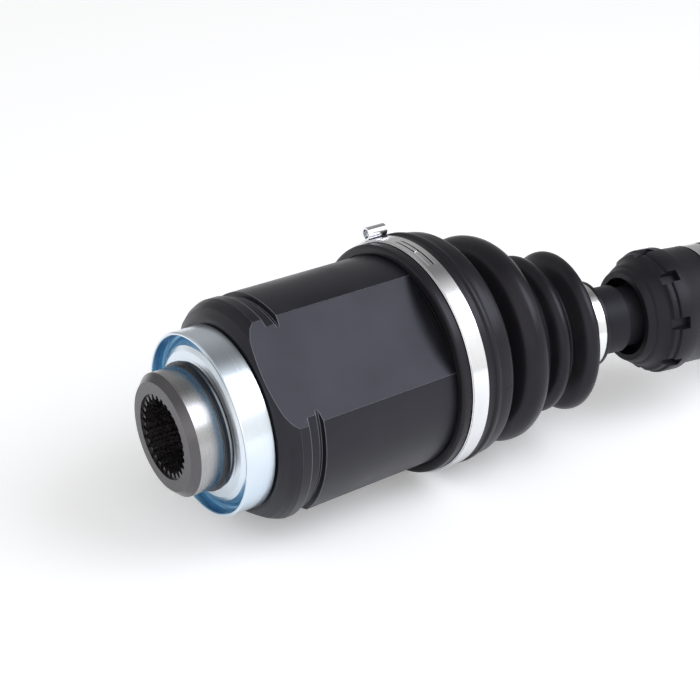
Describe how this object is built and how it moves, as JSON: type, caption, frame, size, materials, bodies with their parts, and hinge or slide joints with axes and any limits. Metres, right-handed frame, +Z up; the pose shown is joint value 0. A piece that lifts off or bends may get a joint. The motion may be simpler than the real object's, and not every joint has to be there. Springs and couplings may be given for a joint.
{
  "type": "drive shaft",
  "caption": "Car half-shaft with a plunging tripod joint in a three-lobed housing, rubber boots, a bar shaft with a damper and a fixed ball joint with a splined hub stub.",
  "frame": {"origin": "centre of the splined stub's end face on the inner housing's axis", "axes": "+X along the inner housing's axis from the splined stub towards the outer joint, +Z up as it lies, -Y towards the front, where the bar shaft is turned 12 degrees"},
  "size_m": [0.6151, 0.1837, 0.0933],
  "materials": {
    "black_paint": "satin black paint over forged steel, machined stub bare",
    "zinc_plate": "zinc-plated pressed steel, pale blue",
    "boot_rubber": "satin moulded rubber",
    "adapter_rubber": "moulded rubber",
    "clamp_steel": "bright stainless band",
    "spring_steel": "oiled spring steel",
    "bearing_steel": "ground bearing steel",
    "forged_steel": "machined forged steel",
    "shaft_paint": "black painted bar",
    "damper_rubber": "matt moulded rubber",
    "damper_iron": "plain iron ring",
    "bell_steel": "machined steel with a light oil film"
  },
  "bodies": {
    "tulip": {"tulip_housing": "black_paint", "dust_cover": "zinc_plate", "cover_retaining_ring": "spring_steel", "cuff_adapter": "adapter_rubber", "inner_boot": "boot_rubber", "inner_boot_large_clamp": "clamp_steel", "centring_spring": "spring_steel"},
    "cup": {"spring_cup": "forged_steel"},
    "shaft": {"tripod_spider": "forged_steel", "needle_rollers": "bearing_steel", "roller_retainers": "spring_steel", "spider_circlip": "spring_steel", "axle_shaft": "shaft_paint", "inner_boot_small_clamp": "clamp_steel", "damper_rubber": "damper_rubber", "damper_mass": "damper_iron", "damper_clamp": "clamp_steel", "outer_boot_small_clamp": "clamp_steel", "outer_boot": "boot_rubber", "race_retaining_ring": "spring_steel", "ball_race": "forged_steel"},
    "roller_1": {"tripod_roller_1": "bearing_steel"},
    "roller_2": {"tripod_roller_2": "bearing_steel"},
    "roller_3": {"tripod_roller_3": "bearing_steel"},
    "cage": {"ball_cage": "forged_steel", "joint_balls": "bearing_steel"},
    "bell": {"ball_joint_bell": "bell_steel", "outer_boot_large_clamp": "clamp_steel"}
  },
  "joints": [
    {"name": "plunge", "type": "slide", "parent": "tulip", "child": "cup", "axis": [1, 0, 0], "range_m": [-0.015, 0.015], "deforming": ["centring_spring", "inner_boot"]},
    {"name": "inner_bend", "type": "hinge", "parent": "cup", "child": "shaft", "pos_m": [0.08, 0, 0], "axis": [0, 0, 1], "range_deg": [-5, 29], "deforming": ["inner_boot"]},
    {"name": "roller_1_spin", "type": "hinge", "parent": "shaft", "child": "roller_1", "pos_m": [0.08, 0, 0], "axis": [-0.2008, -0.9448, -0.2588], "continuous": true},
    {"name": "roller_2_spin", "type": "hinge", "parent": "shaft", "child": "roller_2", "pos_m": [0.08, 0, 0], "axis": [0.147, 0.6917, -0.7071], "continuous": true},
    {"name": "roller_3_spin", "type": "hinge", "parent": "shaft", "child": "roller_3", "pos_m": [0.08, 0, 0], "axis": [0.0538, 0.2532, 0.9659], "continuous": true},
    {"name": "outer_bend", "type": "hinge", "parent": "shaft", "child": "bell", "pos_m": [0.5006, -0.0894, 0], "axis": [0, 0, 1], "range_deg": [-40, 40], "deforming": ["outer_boot"]},
    {"name": "cage_bend", "type": "hinge", "parent": "shaft", "child": "cage", "pos_m": [0.5006, -0.0894, 0], "axis": [0, 0, 1], "range_deg": [-20, 20]}
  ],
  "couplings": [
    {"joint": "cage_bend", "follows": "outer_bend", "ratio": 0.5}
  ]
}
